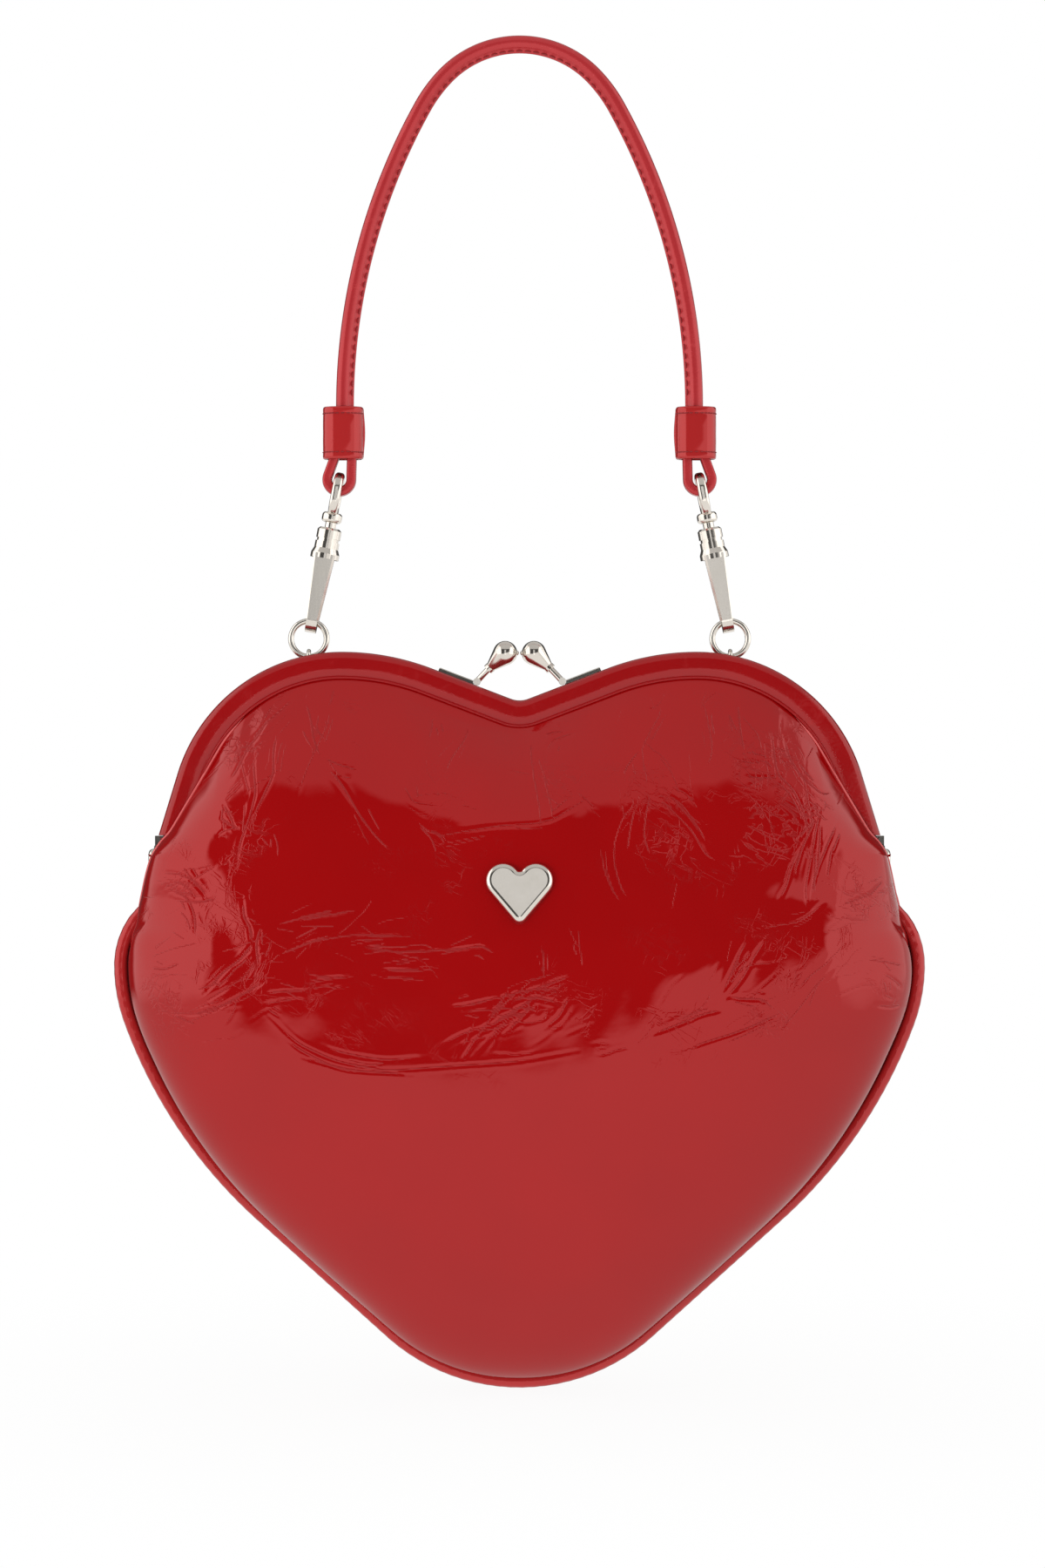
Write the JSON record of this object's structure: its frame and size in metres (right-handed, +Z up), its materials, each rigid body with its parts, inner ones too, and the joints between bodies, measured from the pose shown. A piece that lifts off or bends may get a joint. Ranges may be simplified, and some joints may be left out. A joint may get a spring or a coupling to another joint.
{
  "type": "heart-shaped frame purse",
  "caption": "Heart-shaped leather purse with a hinged kiss-lock metal frame, piped edge and a rolled top handle held by swivel snap hooks on rings.",
  "frame": {"origin": "middle of the handle's crown, on the centre line of its rolled tube", "axes": "+Z up along the hanging purse, -Y out of the purse's front, +X to the viewer's right along the hinge"},
  "size_m": [0.22, 0.067, 0.3673],
  "materials": {
    "patent_leather": "glossy crinkled patent",
    "satin_leather": "satin",
    "cord": "twisted cord",
    "lining": "woven satin",
    "stiffener": "matt board",
    "frame_steel": "plain",
    "nickel": "polished nickel plate"
  },
  "bodies": {
    "handle": {"handle_core": "cord", "handle_wrap": "patent_leather", "loop_tab_left": "patent_leather", "loop_tab_right": "patent_leather", "keeper_left": "patent_leather", "keeper_right": "patent_leather"},
    "eye_left": {"swivel_eye_left": "nickel"},
    "eye_right": {"swivel_eye_right": "nickel"},
    "hook_left": {"hook_body_left": "nickel", "gate_pin_left": "nickel", "gate_spring_left": "nickel"},
    "hook_right": {"hook_body_right": "nickel", "gate_pin_right": "nickel", "gate_spring_right": "nickel"},
    "gate_left": {"gate_left": "nickel"},
    "gate_right": {"gate_right": "nickel"},
    "ring_left": {"strap_ring_left": "nickel"},
    "ring_right": {"strap_ring_right": "nickel"},
    "bag": {"back_frame": "frame_steel", "back_frame_cover": "satin_leather", "ring_staple_left": "nickel", "ring_staple_right": "nickel", "hinge_rivet_left": "nickel", "hinge_rivet_right": "nickel", "back_panel": "patent_leather", "back_stiffener": "stiffener", "back_lining": "lining", "piping": "patent_leather", "front_stiffener": "stiffener", "front_panel": "patent_leather", "front_lining": "lining", "heart_stud": "nickel", "stud_backing": "frame_steel", "clasp_foot_left": "nickel"},
    "front_half": {"front_frame": "frame_steel", "front_frame_cover": "satin_leather", "clasp_foot_right": "nickel"},
    "clasp_right": {"clasp_arm_right": "nickel", "clasp_knob_right": "nickel"},
    "clasp_left": {"clasp_arm_left": "nickel", "clasp_knob_left": "nickel"}
  },
  "joints": [
    {"name": "eye_left_swing", "type": "hinge", "parent": "handle", "child": "eye_left", "pos_m": [-0.04964, 0, -0.12205], "axis": [1, 0, 0], "range_deg": [-40, 40]},
    {"name": "eye_right_swing", "type": "hinge", "parent": "handle", "child": "eye_right", "pos_m": [0.04964, 0, -0.12205], "axis": [1, 0, 0], "range_deg": [-40, 40]},
    {"name": "hook_left_swivel", "type": "hinge", "parent": "eye_left", "child": "hook_left", "pos_m": [-0.05639, 0, -0.15741], "axis": [0.1875, 0, 0.9823], "range_deg": [-12, 12]},
    {"name": "hook_right_swivel", "type": "hinge", "parent": "eye_right", "child": "hook_right", "pos_m": [0.05639, 0, -0.15741], "axis": [-0.1875, 0, 0.9823], "range_deg": [-12, 12]},
    {"name": "gate_left_open", "type": "hinge", "parent": "hook_left", "child": "gate_left", "pos_m": [-0.05347, 0.0026, -0.14209], "axis": [-0.9823, 0, 0.1875], "range_deg": [0, 18], "stiffness_Nm_per_rad": 0.002, "deforming": ["gate_spring_left"]},
    {"name": "gate_right_open", "type": "hinge", "parent": "hook_right", "child": "gate_right", "pos_m": [0.05347, 0.0026, -0.14209], "axis": [-0.9823, 0, -0.1875], "range_deg": [0, 18], "stiffness_Nm_per_rad": 0.002, "deforming": ["gate_spring_right"]},
    {"name": "ring_left_swing", "type": "hinge", "parent": "eye_left", "child": "ring_left", "pos_m": [-0.05639, 0, -0.15741], "axis": [1, 0, 0], "range_deg": [-40, 40]},
    {"name": "ring_right_swing", "type": "hinge", "parent": "eye_right", "child": "ring_right", "pos_m": [0.05639, 0, -0.15741], "axis": [1, 0, 0], "range_deg": [-40, 40]},
    {"name": "bag_swing", "type": "hinge", "parent": "ring_left", "child": "bag", "pos_m": [-0.0573, 0, -0.16703], "axis": [1, 0, 0], "range_deg": [-50, 50]},
    {"name": "frame_open", "type": "hinge", "parent": "bag", "child": "front_half", "pos_m": [0, -0.0031, -0.22171], "axis": [1, 0, 0], "range_deg": [0, 45], "deforming": ["front_panel", "front_lining"]},
    {"name": "clasp_right_flex", "type": "hinge", "parent": "front_half", "child": "clasp_right", "pos_m": [0.0116, -0.0055, -0.17381], "axis": [0, 1, 0], "range_deg": [0, 6], "stiffness_Nm_per_rad": 0.012},
    {"name": "clasp_left_flex", "type": "hinge", "parent": "bag", "child": "clasp_left", "pos_m": [-0.0116, -0.0007, -0.17381], "axis": [0, 1, 0], "range_deg": [-6, 0], "stiffness_Nm_per_rad": 0.012}
  ],
  "couplings": [
    {"joint": "eye_right_swing", "follows": "eye_left_swing", "ratio": 1},
    {"joint": "ring_right_swing", "follows": "ring_left_swing", "ratio": 1},
    {"joint": "clasp_left_flex", "follows": "clasp_right_flex", "ratio": -1}
  ]
}
